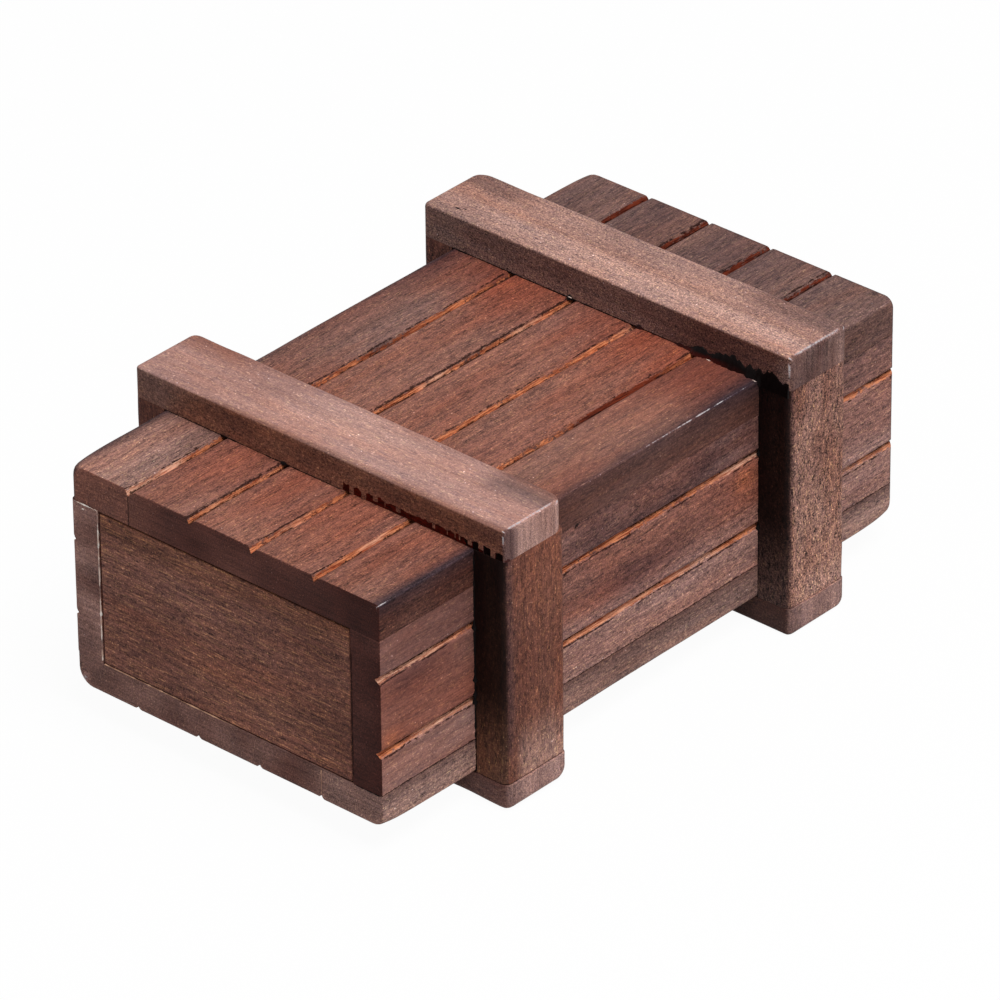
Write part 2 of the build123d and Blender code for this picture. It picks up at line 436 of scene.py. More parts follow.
def rgba(red, green, blue):
    """A colour as it looks on a screen, 0 to 255, turned into light values and a last 1."""
    shares = [channel / 255 for channel in (red, green, blue)]
    linear = [s / 12.92 if s <= 0.04045 else ((s + 0.055) / 1.055) ** 2.4 for s in shares]
    return (*linear, 1.0)


def coated(colour, *coats):
    """A colour under thin coats, each given as its colour and how much of it shows."""
    for coat, share in coats:
        colour = tuple(under + (over - under) * held(share) for under, over in zip(colour, coat))
    return colour


def new_material(name):
    """A new material, its shader, and a field to start its nodes from."""
    material = bpy.data.materials.new(name)
    material.use_nodes = True
    return material, material.node_tree.nodes["Principled BSDF"], Field(material.node_tree)


wood_gloss = 0.08
wood_bump_strength, wood_bump_depth = 0.4, 0.08


def stained_wood(
    name, grain, saw, shift, figure=(1.0, 1.0, 1.2, 1.7), specks=0.7, streaks=0.3, plain=None,
    dash=(0.8, 0.62),
):
    """Stained wood. grain and saw are the axes of its grain and of the saw marks on its ends: 0,
    1 or 2 for X, Y or Z. figure says how strong streaks, fibres, flecks and dust are, dash how
    short and how rare the pale dashes are. plain is a colour for a piece with no painted tones."""
    material, shader, bare = new_material(name)
    place = bare.node("ShaderNodeTexCoord", out="Object").moved([part * mm for part in shift])

    def texture(along, across, detail, roughness, distortion=0.0, moved=None, axis=grain):
        start = place.moved(moved) if moved else place
        return start.stretched(along, across, axis).speckle(detail, roughness, distortion)

    facing = bare.node("ShaderNodeTexCoord", out="Normal")
    end = bare.math("ABSOLUTE", facing.part(grain)).ramp(0.66, 0.84)
    flat = 1 - end
    kept_marks = ("raw", "pool", "edge_pool", "wear", "stain", "glue")
    raw, pool, edge_pool, wear, stain, glue = map(bare.mark, kept_marks)
    if plain:
        tone = (end * 0.5).colours(plain, coated(plain, ((0, 0, 0, 1), 0.5)))
        rough = end * 0 + 1
    else:
        tone, rough = bare.mark("tone", 0), bare.mark("tone", 3)
    long_grain = texture(0.04, 0.7, 4.0, 0.6, 0.15)
    fibres = texture(0.26, 2.6, 3.0, 0.62)
    flecks = texture(0.95, 2.1, 2.0, 0.65)
    grit = texture(2.4, 2.8, 2.0, 0.7)
    dust = texture(3.6, 4.4, 1.0, 0.6, moved=(0.5, 0.8, 0.2))
    cloud = texture(0.03, 0.16, 3.0, 0.55, 0.3)
    saw_lines = texture(0.12, 2.3, 3.0, 0.65, axis=saw)
    strands = texture(0.55, 4.2, 2.0, 0.6, moved=(0.9, 0.2, 0.6))
    side_shade = (fibres - 0.5) * figure[1] + (strands - 0.5) * figure[1]
    side_shade = (long_grain - 0.5) * figure[0] + side_shade * rough
    side_shade = side_shade + ((flecks - 0.5) * figure[2] + (dust - 0.5) * figure[3]) * rough
    end_shade = (saw_lines - 0.5) * 1.5 + (dust - 0.5) * 1.9 + (cloud - 0.5) * 0.8
    colour = tone.scaled(1 + side_shade * flat + end_shade * end)

    redder = (cloud.ramp(0.46, 0.68) * 0.45 + fibres.ramp(0.5, 0.75) * 0.3) * flat
    greyer = cloud.ramp(0.52, 0.34) * 0.45
    dark_streaks = texture(0.055, 2.8, 2.0, 0.5, 0.15, (0.3, 0.3, 0.3)).ramp(0.55, 0.66)
    dark_streaks = dark_streaks * flat * streaks
    golden = (dust + grit - 1).ramp(0.04, 0.26) * specks * rough
    smoky = (fibres + flecks - 1).ramp(-0.02, -0.22) * 0.6
    pores = texture(0.5, 3.6, 1.0, 0.5).ramp(0.60, 0.72)
    strokes = texture(4.2, 0.7, 1.0, 0.5, moved=(0.2, 0.6, 0.9)).ramp(0.62, 0.74)
    pits = texture(1.5, 1.9, 1.0, 0.5, moved=(0.4, 0.3, 0.7)).ramp(0.62, 0.72)
    dashes = texture(dash[0], 4.8, 1.0, 0.5, moved=(0.7, 0.1, 0.4)).ramp(dash[1], dash[1] + 0.1)
    dots = texture(2.5, 2.9, 1.0, 0.4).ramp(0.66, 0.76)
    cells = {"Vector": place.stretched(0.8, 0.9, grain), "Scale": 1.0}
    lucky = bare.node("ShaderNodeTexVoronoi", None, cells, 1).part(0).ramp(0.80, 0.82)
    glints = bare.node("ShaderNodeTexVoronoi", None, cells).ramp(0.12, 0.05) * lucky
    # Paler along worn edges and rims, which is wear with a soft painted highlight, and a thin pale
    # painted highlight line where the mark goes over 1.
    rubbed_and_highlit = wear * (grit * 1.1 + fibres * 0.5)
    tints = (
        (redder, (1.12, 0.92, 0.80)), (greyer, (0.86, 0.93, 1.0)),
        (dark_streaks, (0.50, 0.46, 0.50)), (golden, (1.32, 1.40, 1.16)),
        (smoky, (0.80, 0.83, 0.97)), (pores * 0.30 * flat, (0.5, 0.44, 0.46)),
        (strokes * 0.7 * specks * flat * rough, (1.35, 1.42, 1.2)),
        (pits * rough.ramp(1.2, 2.0), (0.35, 0.28, 0.28)),
        (dashes * specks * flat, (1.72, 1.9, 1.5)), (dots * specks, (2.15, 2.33, 2.18)),
        (glints, (2.6, 3.4, 3.8)),
    )
    for share, factors in tints:
        colour = share.colours(colour, colour.times(factors))

    thread = texture(0.30, 5.2, 3.0, 0.7).ramp(0.34, 0.66)
    raw_wood = thread.colours(rgba(138, 60, 36), rgba(246, 156, 108))
    pale_wood = thread.colours(rgba(172, 98, 70), rgba(244, 190, 162))
    soaked_wood = thread.colours(rgba(62, 22, 15), rgba(134, 58, 36))
    raw_wood = stain.ramp(0.35, 0.0).colours(raw_wood, pale_wood)
    raw_wood = stain.ramp(0.35, 1.0).colours(raw_wood, soaked_wood)
    fray = texture(1.3, 5.2, 2.0, 0.6, moved=(0.1, 0.7, 0.4))
    bared = (raw + (fray - 0.5) * 1.5 + (grit - 0.5) * 0.6 - stain * 0.12).ramp(0.42, 0.74) * flat
    colour = bared.colours(colour, raw_wood)
    colour = (rubbed_and_highlit.ramp(0.62, 0.88) * 0.55).colours(colour, colour.times((1.9, 2.1, 2.3)))
    # Dark lines of stain along groove lips and joints, and painted shade down at the grooves' tips
    # and in the crease at a bar's foot.
    lined_and_shaded = (edge_pool * flat + (fray - 0.5) * 1.4 + (grit - 0.5) * 1.2).ramp(0.42, 0.86) * 0.92
    # Nearly black under the bands and just beside them: painted shade where the grooves run in
    # under a batten, and a few dark marks.
    blackened = (pool + (grit - 0.5) * 1.0 + (fibres - 0.5) * 0.6).ramp(0.34, 0.76)
    glued = (glue + (grit - 0.5) * 0.3).ramp(0.35, 0.6)
    # Coats over the colour: the thin painted highlight line, dark lines with painted shade, nearly
    # black painted shade under the bands, and glue.
    for share, over in (
        (rubbed_and_highlit.ramp(1.1, 1.7), rgba(196, 188, 190)), (lined_and_shaded, rgba(36, 15, 12)),
        (blackened, rgba(22, 9, 7)),
        (glued, flecks.ramp(0.35, 0.65).colours(rgba(52, 11, 8), rgba(92, 22, 13))),
        ((glue + (grit - 0.5) * 0.3).ramp(1.2, 1.6), rgba(14, 5, 5)),
    ):
        colour = share.colours(colour, over)
    colour.feeds(shader, "Base Color")
    (0.52 + grit * 0.14 + fibres * 0.10 - glued * 0.35).feeds(shader, "Roughness")
    height = (long_grain * 0.5 + fibres * 0.6 + pores * -0.5) * flat + saw_lines * end * 0.7
    (height + grit * 0.4).bumps(shader, wood_bump_strength, wood_bump_depth)
    shader.inputs["Specular IOR Level"].default_value = wood_gloss
    return material


def finish_piece(piece, material):
    """Gives a piece its only finish."""
    piece.data.materials.clear()
    piece.data.materials.append(material)


def dress(piece, body, material, slot, *nodes):
    """Gives a piece its finish, the body it moves with and the CAD nodes it stands for."""
    finish_piece(piece, material)
    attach(piece, body)
    if nodes:
        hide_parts(*nodes)


brown = rgba(137, 90, 78)
pale_brown = rgba(162, 113, 97)
red_brown = rgba(140, 77, 61)
grey_brown = rgba(119, 90, 85)
dusty_brown = rgba(184, 144, 134)
smoky_brown = rgba(78, 54, 55)
umber = rgba(90, 54, 48)
dark_umber = rgba(62, 31, 27)
nearly_black = rgba(20, 6, 5)
blue_smoke = rgba(60, 45, 50)


def on_ends(x, clear=0.2, full=0.08):
    """1 on the two ends of a board, 0 on the rest of it."""
    at_near = step(x, board_low.x + clear, board_low.x + full)
    return at_near + step(x, board_high.x - 1.2, board_high.x - 0.4)


def under_bands(x):
    """1 under the middle of each band, falling off just beside it: the painted shade where the
    grooves run in under a batten and at its foot.
    """
    return max(near(x, sum(band) / 2, 7.0) for band in (near_band, far_band))


def long_edge_smoke(x, y):
    """Smoky stain along the long edges of the top, in drifts: a narrow dark band before the near
    band, a wide weak one after it, and a wide dark one before the far band."""
    inside = min(y - board_low.y, board_high.y - y)
    before, late = step(x, -30, -34), step(x, 6, 22)
    reach = 5.5 - 1.5 * before + 2.0 * drift(4, 11, x) - 1.5 * step(x, -42, -56)
    strength = 0.24 + 0.58 * before + 0.38 * late + 0.25 * drift(3, 12, x, y / 8)
    strength += 0.5 * near(inside, 0, 1.2)
    return step(inside, reach, 0.2) * min(0.97, strength) * step(x, far_band[1], far_band[0])


def top_paint(x, y, z):
    """Tones of the top: paler in the middle, redder before each band, greyer past the far band."""
    plank = min(4, max(0, int((y - board_low.y) / plank_width)))
    blotch = drift(5, 7, x / 4, y) + 0.6 * drift(6, 2.6, x / 6, y)
    short_of_far, far_end = step(x, far_band[1], far_band[0]), far_band[1]
    redder = (0.6, 0.5, 0.6, 0.6, 0.0)[plank] * step(x, -60, -46) * step(x, -28, -36)
    redder = max(redder, 0.95 * step(x, 6, 25) * short_of_far)
    smokier = 0.5 + 2 * blotch + 0.2 * near(y, 12, 14) + 0.7 * near(y, 0, 7)
    surface = board_high.z
    side_colour = coated(
        dark_umber, (grey_brown, 0.06 + 0.22 * step(x, -36, -20) + 0.3 * drift(8, 12, x, y, z * 2)),
        (brown, 0.30 * step(z, surface - 2, surface - 4)),
        (nearly_black, 0.25 * step(x, 18, 26) * step(x, 40, 30)),
        (grey_brown, 0.42 * step(x, far_end, far_end + 4)),
    )
    end_colour = coated(
        dark_umber, (umber, 0.8 * step(y, -32, -12) + 0.5 * drift(9, 6, y, z * 1.5)),
        (brown, 0.62 * step(y, 10, top_joint + 3) + 0.3 * near(y, -3, 5) * near(z, 38.5, 1.2)),
        (dark_umber, 0.7 * near(y, 6, 3.2) * near(z, 39.4, 2)
         + 0.5 * near(y, -12.5, 3) * near(z, 39.5, 2)),
    )
    colour = coated(
        brown, (pale_brown, (0.30, 0.12, 0.16, 0.05, 0.10)[plank] * step(x, 25, 6) + 0.45 * blotch),
        (red_brown, redder - 0.3 * blotch * step(x, -30, -20)),
        (grey_brown, (0.1, 0.0, 0.0, 0.1, 0.55)[plank] * step(x, 20, 8) + 0.5 * blotch),
        (dusty_brown, 0.40 * step(x, -34, -50) * step(y, top_joint - 0.3, top_joint + 0.3)),
        (grey_brown, 0.95 * step(x, far_end - 2, far_end + 3)),
        (smoky_brown, 0.26 * step(x, far_end, far_end + 3) * smokier),
        (umber, 0.22 * (plank == 0) * step(x, -42, -48)),
        (smoky_brown, (0.40, 0, 0, 0, 0.22)[plank] * step(x, 8, 24) * short_of_far),
        (blue_smoke, long_edge_smoke(x, y)),
        (side_colour, step(z, surface - 0.25, surface - 0.8)), (end_colour, on_ends(x)),
    )
    stain = 0.36 + 0.55 * drift(21, 12, x, y) + 0.9 * step(x, *far_band)
    stain += near(y, groove_tips[0], 2) * near(x, 8, 15) + 0.15 * near(y, groove_tips[3], 2)
    stain -= 0.8 * near(y, groove_tips[3], 2) * step(x, -44, -56)
    calm = 0.3 * (plank == 0) * step(x, -27, -22) * short_of_far
    # The second value is painted shade under and beside the bands.
    return (*colour[:3], 1 - calm), 0.9 * under_bands(x), held(stain)


board_places = stations(board_low.x, board_high.x)
crisp_corners = (0.5, 0.0, 1.3, 0.2, 1.3)
worn_corners = (0.9, 1.3, 1.3, 1.6, 1.3)
top_cut = (1.1, 0.46, 0.88, 1)
top_lines = (0.8, 0.7, 1.7, 1.0)
top_rims = (0.16, 1.0)
top_figure = (1.0, 1.3, 1.3, 1.6)


def board(name, node, place, paint, material, carve=None, **shape):
    """Makes a grooved board. shape is what its sections need."""
    sections = [(u, board_section(u, **shape)) for u in board_places]
    dress(solid(name, sections, place, paint, carve), "box", material, "stained_board", node)


def lying(u, across, out):
    """A point of a board that lies with its face up."""
    return u, across, out


board(
    "top_board_planks", "top_board", lying, top_paint,
    stained_wood("stained_top_wood", 0, 1, (0, 0, 0), top_figure),
    across=(board_low.y, top_joint), thickness=(top_inner, board_high.z), sides=("edge", "joint"),
    tips=groove_tips, cut=top_cut, seed=1, rims=top_rims, corners=crisp_corners, lines=top_lines,
    shine=(14.0, 14.0),
)
board(
    "top_strip_plank", "top_board_strip", lying, top_paint,
    stained_wood("stained_strip_wood", 0, 1, (31, 17, 5), top_figure),
    across=(top_joint, board_high.y), thickness=(top_inner, board_high.z), sides=("joint", "edge"),
    tips=groove_tips[3:], cut=top_cut, seed=34, rims=top_rims, corners=worn_corners,
    lines=top_lines[3:],
)


# Bottom board and its strip. The same pair turned over, so the narrow strip is at the right. The
# dovetail way of the sliding batten runs across them, with the slot for its peg over it.
bottom_joint, bottom_inner = node_box("bottom_board")[0].y, node_box("bottom_board")[1].z
way_middle = sum(near_band) / 2
way_mouth, way_deep, way_depth = 3.2, 4.325, 3.15
way_length = 80
clear_above = 20
slot_radius, slot_travel = 2.35, 5.0


def prism(name, outline, start, end, place):
    """A closed straight mesh with the given outline, from start to end."""
    return shell(name, [[place(u, *point) for point in outline] for u in (start, end)])


def crosswise(u, x, z):
    """A point of a piece that runs across the box."""
    return x, u, z


def upright(u, x, y):
    """A point of a piece that stands up."""
    return x, y, u


def joined(piece, other, operation):
    """Cuts the other mesh from a piece or joins it on, and removes the other mesh."""
    modifier = piece.modifiers.new("joinery", "BOOLEAN")
    modifier.operation = operation
    modifier.solver = "EXACT"
    modifier.object = other
    bpy.context.view_layer.update()
    evaluated = piece.evaluated_get(bpy.context.evaluated_depsgraph_get())
    mesh = bpy.data.meshes.new_from_object(evaluated)
    piece.modifiers.clear()
    piece.data = mesh
    bpy.data.objects.remove(other)


def round_outline(radius, middle, count=40, stretch=0.0):
    """A circle, or a slot if it is stretched along its second axis."""
    points = []
    for number in range(count):
        turn = 2 * math.pi * (number + 0.5) / count
        shift = math.copysign(stretch / 2, math.sin(turn))
        points.append((
            middle[0] + radius * math.cos(turn), middle[1] + radius * math.sin(turn) + shift,
        ))
    return points


def way_cut(piece):
    """Cuts the dovetail way and the peg's slot into a bottom board."""
    low, high = board_low.z - 1, board_low.z + way_depth
    outline = [
        (way_middle - way_mouth, low), (way_middle + way_mouth, low),
        (way_middle + way_deep, high), (way_middle - way_deep, high),
    ]
    joined(piece, prism("way", outline, -way_length / 2, way_length / 2, crosswise), "DIFFERENCE")
    outline = round_outline(slot_radius, (way_middle, 0), stretch=slot_travel)
    joined(piece, prism("slot", outline, 0, clear_above, upright), "DIFFERENCE")


def bottom_paint(x, y, z):
    """Tones of the bottom: dusty on its long edges, umber on its ends, dark under the bands."""
    dusty_edge = 0.42 + 0.28 * step(x, -20, -45) + 0.25 * step(x, *far_band)
    dusty_edge += 0.35 * drift(52, 12, x, z * 3)
    edge_colour = coated(grey_brown, (dusty_brown, dusty_edge))
    paler_strip = 0.23 * step(y, bottom_joint + 0.2, bottom_joint - 0.2) - 0.12 * near(y, -15, 4)
    end_colour = coated(umber, (dusty_brown, 0.26 + paler_strip + 0.2 * drift(53, 5, y, z)))
    end = on_ends(x, 0.3, 0.1)
    colour = coated(
        brown, (grey_brown, 0.5 + 0.4 * drift(51, 25, x, y)),
        (edge_colour, step(abs(y), board_high.y - 0.5, board_high.y - 0.1)), (end_colour, end),
        (umber, 0.6 * step(z, bottom_inner - 0.6, bottom_inner - 0.1) * (1 - end)),
    )
    # Painted shade under and beside the bands.
    pool = 0.7 * under_bands(x) * step(z, bottom_inner - 1, board_low.z + 2)
    return colour, pool, 0.45 + 0.4 * drift(54, 12, x, y)


def turned_over(u, across, out):
    """A point of a board that lies with its face down."""
    return u, -across, -out


bottom_wood = stained_wood("stained_bottom_wood", 0, 1, (7, 43, 11))
for name, node, across, sides, tips, seed, rims, corners, lines in (
    ("bottom_board_planks", "bottom_board", (board_low.y, -bottom_joint), ("edge", "joint"),
     groove_tips, 71, (1.1, 1.0), (0.9, 2.2, 1.9, 1.2, 1.3), top_lines),
    ("bottom_strip_plank", "bottom_board_strip", (-bottom_joint, board_high.y), ("joint", "edge"),
     groove_tips[3:], 104, (0.7, 1.0), (0.8, 1.5, 1.9, 0.3, 1.3), top_lines[3:]),
):
    board(
        name, node, turned_over, bottom_paint, bottom_wood, way_cut, across=across,
        thickness=(-bottom_inner, -board_low.z), sides=sides, tips=tips, cut=top_cut, seed=seed,
        rims=rims, corners=corners, lines=lines,
    )


# Left and right side boards, glued between the top and the bottom board. Each has two V grooves, so
# it looks like three planks. Their lower flanks are raw and frayed at the near end.
side_inner = node_box("left_side_board")[0].y
side_tips = [board_low.z + (board_high.z - board_low.z) * number / 3 for number in (1, 2)]
side_cut = (0.72, 0.70, 0.85, -1)
side_lines = (1.1, 1.0)
side_figure = (1.0, 0.9, 1.1, 1.2)
side_brown = rgba(147, 97, 84)
side_red = rgba(150, 84, 66)
side_orange = rgba(186, 104, 70)
side_cast = (0.98, 1.02, 1.09, 1)


def side_paint(x, y, z):
    """Tones of a side: brown above, redder and smoky in the middle plank, dusty in the lowest."""
    plank = sum(z >= tip for tip in side_tips)
    blotch = drift(61, 8, x / 3, z * 1.2, y) + 0.6 * drift(62, 2.4, x / 4, z, y)
    if plank == 0:
        colour = coated(side_brown, (dusty_brown, 0.40 + 0.14 * near(x, -5, 18) + 0.35 * blotch))
    elif plank == 1:
        smoke = 0.75 * near(x, 2, 13) * step(z, 28.5, 24) + 0.35 * near(x, -50, 6) * step(z, 25, 29)
        redder = 0.35 + 0.9 * drift(66, 9, x / 2, z, y) - 0.3 * step(x, -8, -20) * step(x, -24, -20)
        colour = coated(
            side_brown, (side_red, redder), (smoky_brown, 0.85 * smoke + 0.4 * blotch),
            (dusty_brown, 0.35 * step(z, 23, 19) * step(x, -30, -20)),
        )
    else:
        smoke = 0.28 + 0.42 * step(x, -20, -8) * step(x, 60, 40) + 0.35 * drift(67, 6, x / 2, z, y)
        colour = coated(side_brown, (smoky_brown, smoke), (dusty_brown, 0.3 * blotch))
    glow = near(x, 23.5, 2.5) * near(z, 27.6, 2.2) + near(x, 53.5, 2.5) * near(z, 41, 2)
    glow += near(x, -58, 3) * near(z, 19.5, 2.2)
    past_far_band = step(x, far_band[1] - 2, far_band[1] + 2)
    colour = coated(
        colour, (dusty_brown, (0.15, 0.25, 0.12)[plank] * past_far_band), (side_orange, 0.6 * glow)
    )
    colour = tuple(channel * share for channel, share in zip(colour, side_cast))
    if y < 0:
        darker = 0.12 + 0.6 * drift(63, 5, y, z) + 0.4 * near(z, 17, 2) + 0.3 * step(z, 34, 37)
        end_colour = coated(dark_umber, (umber, darker))
    else:
        end_colour = coated(
            umber, (dusty_brown, 0.43 + 0.35 * drift(64, 5, y, z)),
            (umber, 0.6 * near(z, 24, 2.0) + 0.5 * near(z, 32.5, 2.5)),
        )
    inside = step(abs(y), side_inner + 0.6, side_inner + 0.1) * (1 - on_ends(x))
    colour = coated(colour, (end_colour, on_ends(x)), (umber, 0.6 * inside))
    # Painted shade under and beside the bands, and a dark mark near the top joint.
    pool = 0.9 * under_bands(x) + 0.8 * near(x, -15.7, 0.7) * near(z, 37.6, 0.7)
    stain = 0.20 + 0.4 * drift(65, 10, x, z)
    return (*colour[:3], 0.6 + 0.8 * step(x, -42, -20)), pool, held(stain)


for side_name, facing, seed, near_rim in (("left_side", 1, 131, 1.0), ("right_side", -1, 161, 0.2)):
    board(
        side_name + "_planks", side_name + "_board",
        lambda u, across, out: (u, facing * out, across), side_paint,
        stained_wood("stained_" + side_name + "_wood", 0, 1, (seed, 23, 9), side_figure, 0.6),
        across=(bottom_inner, top_inner), thickness=(side_inner, board_high.y),
        sides=("butt", "butt"), tips=side_tips, cut=side_cut, seed=seed, rims=(near_rim, 1.3),
        corners=crisp_corners, lines=side_lines,
    )


# Top battens of the two bands: dusty brown bars of stained wood with their edges sanded round,
# glued across the top and over the upper ends of the side battens. Their ends keep saw marks.

def bar_section(
    u, along, across, thickness, edges, plan_corners, rims, seed, tooth=0.3, bite=None,
    tip_shine=0.0,
):
    """A section of a sanded bar, going round it once, as points (across, outwards, marks). edges
    are the radii at low and high across, plan_corners at low and high of each end. bite says how
    open the joint at its foot is and how deep the notches in it are, tooth how high they reach."""
    low, high = across
    inner, outer = thickness
    from_start, from_end = u - along[0], along[1] - u
    low += fallen(from_start, plan_corners[0]) + fallen(from_end, plan_corners[2])
    high -= fallen(from_start, plan_corners[1]) + fallen(from_end, plan_corners[3])
    outer -= fallen(from_start, rims[0]) + fallen(from_end, rims[1])
    shrink = min(1, min(from_start, from_end) / 2)
    near_edge, far_edge = (
        edge * (1 + 0.22 * drift(seed + number, 7, u)) for number, edge in enumerate(edges)
    )
    gap, notch = 0.0, 0.0
    if bite:
        gap, notch = bite(u)
        tooth *= 0.97 + 0.28 * drift(seed + 12, 0.8, u)
    sunk_gap, sunk_notch = low + 0.14 * min(1, gap), low + 0.14 * min(1, notch)
    # A painted highlight around the section close to its start end: up its low side, over both
    # edges and along its top.
    painted_highlight = tip_shine * near(from_start, 0.38, 0.25)
    section = [
        (sunk_gap + 0.05, inner, {"glue": gap}), (sunk_gap, inner + 0.05, {"glue": gap}),
        (sunk_gap, inner + 0.34 * tooth, {"glue": gap}),
        (sunk_notch, inner + 0.40 * tooth, {"glue": notch}),
        (sunk_notch, inner + 0.92 * tooth, {"glue": notch}), (low, inner + tooth, {}),
    ]
    for share in (0.3, 0.55, 0.8):
        sunk = 0.02 * (1 + drift(seed + 7, 5, u / 2, share))
        level = inner + tooth + (outer - near_edge - inner - tooth) * share
        section.append((low + sunk * shrink, level, {"wear": painted_highlight * share}))
    section += arc((low, outer), near_edge, 180, max(0.72, painted_highlight))
    rim_highlight = 0.62 * painted_highlight * (1 + 0.8 * drift(seed + 14, 1.2, u, low))
    left, right = section[-1][0], high - far_edge
    for share in (0.08, 0.2, 0.35, 0.5, 0.65, 0.8, 0.92):
        sunk = 0.04 * abs(2 * share - 1) ** 3 + 0.03 * (1 + drift(seed + 9, 7, u / 2, share * 8))
        section.append((left + (right - left) * share, outer - sunk * shrink, {"wear": rim_highlight}))
    section += arc((high, outer), far_edge, 90, max(0.72, 0.9 * painted_highlight))
    for share in (0.2, 0.5, 0.8):
        sunk = 0.02 * (1 + drift(seed + 8, 5, u / 2, share))
        level = outer - far_edge - (outer - far_edge - inner) * share
        section.append((high - sunk * shrink, level, {}))
    # A dark line along the foot on its high side: painted shade in the crease with the surface
    # below.
    section += [(high, inner + 0.1, {"edge_pool": 0.4}), (high - 0.1, inner, {"edge_pool": 0.4})]
    return section + [(high + (low - high) * share, inner, {}) for share in (0.2, 0.4, 0.6, 0.8)]


def bar(name, node, body, slot, places, place, paint, material, carve=None, **shape):
    """Makes a sanded bar. shape is what its sections need."""
    along = (places[0], places[-1])
    sections = [(u, bar_section(u, along, **shape)) for u in places]
    dress(solid(name, sections, place, paint, carve), body, material, slot, node)


tooth_pitch = 2.35
dusty_pink = rgba(188, 146, 137)
# A rosy colour for painted highlights on the tops of the top battens.
rosy_highlight = rgba(204, 159, 146)
wall_brown = rgba(134, 92, 76)
unpooled = (0.0, 0.5)


def toothed(y):
    """How open the joint under the near top batten is, and how deep the notches are that rollers
    pressed into its foot. Dark red glue fills both, over 1 where it is black. In the middle the
    teeth have broken off, but for a few crumbs."""
    there = step(y, -4.4, -4.8)
    beat = (y + 0.3 * drift(71, 3, y)) / tooth_pitch % 1
    notch = step(abs(beat - 0.5), 0.32, 0.27)
    broken = step(y, -13.5, -14) * step(y, -30, -29.5)
    crumbs = step(drift(74, 0.8, y), 0.08, 0.20)
    gap = there * max((1 - broken) * max(notch, 0.6 * step(drift(72, 1.6, y), -0.3, 0.2)), broken)
    blackened = 1 + step(y, -29.3, -30)
    return gap * blackened, there * max(notch, broken * (1 - crumbs)) * blackened


def over_band(x):
    """How far across its band a point of a batten lies, 0 to 1."""
    band = near_band if x < 0 else far_band
    return (x - band[0]) / (band[1] - band[0])


def top_cloud(x, y):
    """Clouds of colour over the top battens."""
    return drift(81, 10, x * 2, y / 1.5) + 0.5 * drift(85, 3, x * 1.5, y / 2)


def on_walls(across, start=0.06, end=0.015):
    """1 on the long side faces of a batten, 0 between them."""
    return step(min(across, 1 - across), start, end)


def on_sawn_ends(y, reach, clear=0.7):
    """1 on the sawn ends of a batten that reaches this far to both sides."""
    return step(abs(y), reach - clear, reach - 0.2)


def near_top_paint(x, y, z):
    """Tones of the near top batten: dusty pink, browner towards its ends, umber walls."""
    across, top, foot, cloud = over_band(x), batten_tops[0], board_high.z, top_cloud(x, y)
    wall = step(z, top - 0.1, top - 0.45) * on_walls(across)
    wall_colour = coated(
        wall_brown, (umber, 0.28 + 0.5 * drift(82, 8, y, z * 2)), (umber, 0.6 * step(y, -24, -36)),
        # Paler towards the foot: painted light against the shade in the corner with the top board.
        (pale_brown, 0.3 * step(z, foot + 3, foot + 0.8)),
    )
    end_colour = coated(
        dusty_brown, (brown, 0.08 + 0.5 * drift(83, 3, x, z / 3)),
        (smoky_brown, 0.85 * step(across, 0.22, 0.14)),
    )
    colour = coated(
        brown, (dusty_pink, 0.84 - 0.18 * step(y, 8, 16) + 0.22 * cloud),
        # A rosy painted highlight over the middle of the top.
        (rosy_highlight, 0.5 * near(y, -2, 14) * near(across, 0.6, 0.3)),
        (grey_brown, 0.85 * step(y, -22, -29) * step(across, 0.50, 0.72)),
        (brown, 0.6 * step(y, 20, 30) * step(across, 0.6, 0.85) + 0.25 * near(across, 0.95, 0.08)),
        (wall_colour, 0.6 * step(across, 0.10, 0.03) * step(y, 28, 18)),
        (coated(wall_colour, (grey_brown, 0.6 * step(y, 24, 33))), wall),
        (end_colour, on_sawn_ends(y, band_reach)),
    )
    return (*colour[:3], 0.45 + 0.55 * wall), *unpooled


def far_top_paint(x, y, z):
    """Tones of the far top batten: dusty, with a rosy painted highlight along its near half, greyer
    at its corners.
    """
    across, top, foot, cloud = over_band(x), batten_tops[1], board_high.z, top_cloud(x, y)
    wall = step(z, top - 0.15, top - 0.5) * on_walls(across)
    wall_colour = coated(
        umber,
        # Paler towards the foot: painted light against the shade in the corner with the top board.
        (grey_brown, 0.80 + 0.3 * step(z, top - 1, foot + 1.5) + 0.5 * drift(82, 8, y, z * 2)),
        (dusty_brown, 0.25 * step(z, foot + 3, foot + 0.8) * step(y, -14, -8)),
        # Darker towards the -Y end, where glue spread beneath and painted shade falls.
        (umber, 0.8 * step(y, -8, -22) * step(y, -37, -34)), (grey_brown, 0.6 * step(y, 24, 33)),
    )
    end_colour = coated(
        umber, (grey_brown, 0.75 + 0.6 * drift(84, 2, x, z / 3)),
        (dusty_brown, 0.6 * near(across, 0.86, 0.06) + 0.3 * near(across, 0.72, 0.03)),
    )
    corners = step(across, 0.60, 0.72) * max(step(y, -16, -25), step(y, 22, 31))
    colour = coated(
        brown, (dusty_brown, 0.86 + 0.25 * cloud),
        # A rosy painted highlight along the near part of the top, close to its front.
        (rosy_highlight, 0.95 * near(across, 0.30, 0.13) * step(y, -37, -33) * step(y, 30, 4)),
        (pale_brown, 0.55 * near(across, 0.52, 0.12)), (grey_brown, 0.70 * corners),
        (grey_brown, 0.5 * step(across, 0.4, 0.0) * step(y, 20, 32)),
        (umber, 0.20 * step(across, 0.58, 0.72)), (wall_colour, wall),
        (end_colour, on_sawn_ends(y, band_reach)),
    )
    return (*colour[:3], 0.80 + 0.3 * wall), *unpooled


